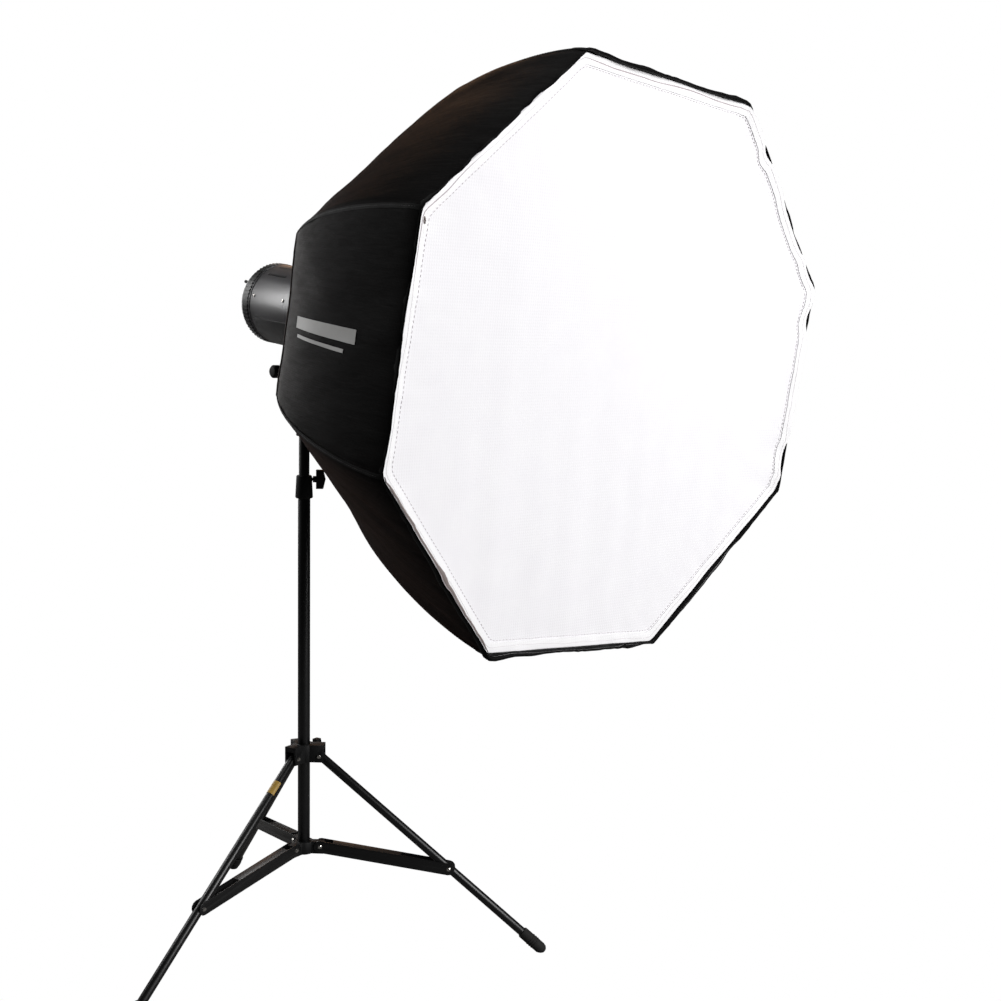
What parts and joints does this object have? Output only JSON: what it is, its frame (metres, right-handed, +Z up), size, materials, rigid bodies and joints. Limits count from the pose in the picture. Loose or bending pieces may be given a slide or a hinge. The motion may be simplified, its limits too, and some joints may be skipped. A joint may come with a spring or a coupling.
{
  "type": "studio softbox",
  "caption": "Eight-sided softbox on a flash head that tilts and swivels on a folding light stand with sliding column tubes.",
  "frame": {"origin": "on the floor, under the middle of the whole object's bounding box", "axes": "+Z up; the softbox faces -Y; +X is to the right when looking along +Y at its front"},
  "size_m": [0.8446, 1.2514, 1.4821],
  "materials": {
    "tube": "satin",
    "casting": "satin",
    "rubber": "matte",
    "rivet": "gloss",
    "spigot": "satin",
    "barrel": "satin",
    "cover": "satin",
    "panel": "matte",
    "dial": "satin",
    "button": "gloss",
    "reflector": "gloss",
    "glass": "gloss",
    "capacitor": "satin",
    "ring": "satin",
    "rib": "satin",
    "shell": "satin",
    "diffuser": "matte"
  },
  "bodies": {
    "stand": {"lower_tube": "tube", "spreader_hub": "casting", "lower_clamp": "casting", "hub_rivet_right": "rivet", "hub_rivet_left": "rivet", "hub_rivet_back": "rivet"},
    "leg_carrier": {"leg_collar": "casting", "hinge_rivet_right": "rivet", "hinge_rivet_left": "rivet", "hinge_rivet_back": "rivet"},
    "leg_right": {"leg_right": "tube", "leg_tip_right": "rubber"},
    "leg_left": {"leg_left": "tube", "leg_tip_left": "rubber"},
    "leg_back": {"leg_back": "tube", "leg_tip_back": "rubber"},
    "brace_right": {"brace_right": "tube", "brace_rivet_right": "rivet"},
    "brace_left": {"brace_left": "tube", "brace_rivet_left": "rivet"},
    "brace_back": {"brace_back": "tube", "brace_rivet_back": "rivet"},
    "leg_collar_knob": {"leg_collar_knob": "casting"},
    "lower_clamp_knob": {"lower_clamp_knob": "casting"},
    "mid_clamp_knob": {"mid_clamp_knob": "casting"},
    "socket_knob": {"socket_knob": "casting"},
    "tilt_handle": {"tilt_handle": "casting"},
    "power_dial": {"power_dial": "dial"},
    "modelling_dial": {"modelling_dial": "dial"},
    "test_button": {"test_button": "button"},
    "power_switch": {"power_switch": "dial"},
    "bayonet_release": {"bayonet_release": "dial"},
    "mid_column": {"mid_tube": "tube", "mid_clamp": "casting"},
    "top_column": {"top_tube": "tube", "spigot": "spigot"},
    "bracket": {"bracket_socket": "casting"},
    "head": {"tilt_yoke": "casting", "head_barrel": "barrel", "rear_cover": "cover", "control_panel": "panel", "mains_inlet": "cover", "sensor_peg": "dial", "bayonet_ring": "cover", "reflector_pan": "reflector", "flash_tube": "glass", "modelling_lamp": "glass", "capacitor_bank": "capacitor"},
    "softbox": {"speedring": "ring", "softbox_shell": "shell", "inner_baffle": "diffuser", "front_diffuser": "diffuser", "rib_1": "rib", "rib_2": "rib", "rib_3": "rib", "rib_4": "rib", "rib_5": "rib", "rib_6": "rib", "rib_7": "rib", "rib_8": "rib"}
  },
  "joints": [
    {"name": "leg_collar_slide", "type": "slide", "parent": "stand", "child": "leg_carrier", "axis": [0, 0, 1], "range_m": [0, 0.38096]},
    {"name": "leg_right_fold", "type": "hinge", "parent": "leg_carrier", "child": "leg_right", "pos_m": [0.03005, 0.17432, 0.35562], "axis": [0.7108, 0.7034, 0], "range_deg": [0, 45.41]},
    {"name": "leg_left_fold", "type": "hinge", "parent": "leg_carrier", "child": "leg_left", "pos_m": [-0.01842, 0.18758, 0.35562], "axis": [0.2538, -0.9673, 0], "range_deg": [0, 45.41]},
    {"name": "leg_back_fold", "type": "hinge", "parent": "leg_carrier", "child": "leg_back", "pos_m": [0.0173, 0.22293, 0.35562], "axis": [-0.9646, 0.2639, 0], "range_deg": [0, 45.41]},
    {"name": "brace_right_fold", "type": "hinge", "parent": "stand", "child": "brace_right", "pos_m": [0.03117, 0.17319, 0.1866], "axis": [-0.7108, -0.7034, 0], "range_deg": [0, 93.5]},
    {"name": "brace_left_fold", "type": "hinge", "parent": "stand", "child": "brace_left", "pos_m": [-0.01996, 0.18718, 0.1866], "axis": [-0.2538, 0.9673, 0], "range_deg": [0, 93.5]},
    {"name": "brace_back_fold", "type": "hinge", "parent": "stand", "child": "brace_back", "pos_m": [0.01772, 0.22446, 0.1866], "axis": [0.9646, -0.2639, 0], "range_deg": [0, 93.5]},
    {"name": "leg_collar_knob_turn", "type": "hinge", "parent": "leg_carrier", "child": "leg_collar_knob", "pos_m": [0.00964, 0.19495, 0.36102], "axis": [-0.9673, -0.2538, 0], "range_deg": [0, 270]},
    {"name": "lower_clamp_knob_turn", "type": "hinge", "parent": "stand", "child": "lower_clamp_knob", "pos_m": [0.00964, 0.19495, 0.859], "axis": [-0.7373, 0.6756, 0], "range_deg": [0, 270]},
    {"name": "mid_tube_slide", "type": "slide", "parent": "stand", "child": "mid_column", "axis": [0, 0, 1], "range_m": [-0.068, 0.4]},
    {"name": "mid_clamp_knob_turn", "type": "hinge", "parent": "mid_column", "child": "mid_clamp_knob", "pos_m": [0.00964, 0.19495, 0.97], "axis": [-0.5, -0.866, 0], "range_deg": [0, 270]},
    {"name": "top_tube_slide", "type": "slide", "parent": "mid_column", "child": "top_column", "axis": [0, 0, 1], "range_m": [0, 0.42]},
    {"name": "head_swivel", "type": "hinge", "parent": "top_column", "child": "bracket", "pos_m": [0.00964, 0.19495, 0.9876], "axis": [0, 0, 1], "continuous": true},
    {"name": "socket_knob_turn", "type": "hinge", "parent": "bracket", "child": "socket_knob", "pos_m": [0.00964, 0.19495, 1.006], "axis": [-1, 0, 0], "range_deg": [0, 270]},
    {"name": "head_tilt", "type": "hinge", "parent": "bracket", "child": "head", "pos_m": [0.00964, 0.19495, 1.0501], "axis": [-1, 0, 0], "range_deg": [-35, 60]},
    {"name": "tilt_handle_turn", "type": "hinge", "parent": "bracket", "child": "tilt_handle", "pos_m": [0.00964, 0.19495, 1.0501], "axis": [1, 0, 0], "range_deg": [0, 180]},
    {"name": "power_dial_turn", "type": "hinge", "parent": "head", "child": "power_dial", "pos_m": [0.03164, 0.29192, 1.19063], "axis": [0, 0.9929, 0.1189], "range_deg": [-135, 135]},
    {"name": "modelling_dial_turn", "type": "hinge", "parent": "head", "child": "modelling_dial", "pos_m": [-0.01236, 0.29192, 1.19063], "axis": [0, 0.9929, 0.1189], "range_deg": [-135, 135]},
    {"name": "test_button_press", "type": "slide", "parent": "head", "child": "test_button", "axis": [0, -0.9929, -0.1189], "range_m": [0, 0.0015], "stiffness_N_per_m": 400, "springref_m": -0.002},
    {"name": "power_switch_rock", "type": "hinge", "parent": "head", "child": "power_switch", "pos_m": [0.03464, 0.29495, 1.15272], "axis": [1, 0, 0], "range_deg": [0, 20]},
    {"name": "bayonet_release_slide", "type": "slide", "parent": "head", "child": "bayonet_release", "axis": [0, 0.9929, 0.1189], "range_m": [0, 0.006], "stiffness_N_per_m": 300, "springref_m": -0.003},
    {"name": "softbox_rotate", "type": "hinge", "parent": "head", "child": "softbox", "pos_m": [0.00964, -0.04611, 1.13201], "axis": [0, 0.9929, 0.1189], "continuous": true}
  ],
  "couplings": [
    {"joint": "leg_right_fold", "follows": "leg_collar_slide", "rad_per_m": 2.08},
    {"joint": "leg_left_fold", "follows": "leg_collar_slide", "rad_per_m": 2.08},
    {"joint": "leg_back_fold", "follows": "leg_collar_slide", "rad_per_m": 2.08},
    {"joint": "brace_right_fold", "follows": "leg_collar_slide", "rad_per_m": 4.2831},
    {"joint": "brace_left_fold", "follows": "leg_collar_slide", "rad_per_m": 4.2831},
    {"joint": "brace_back_fold", "follows": "leg_collar_slide", "rad_per_m": 4.2831}
  ]
}
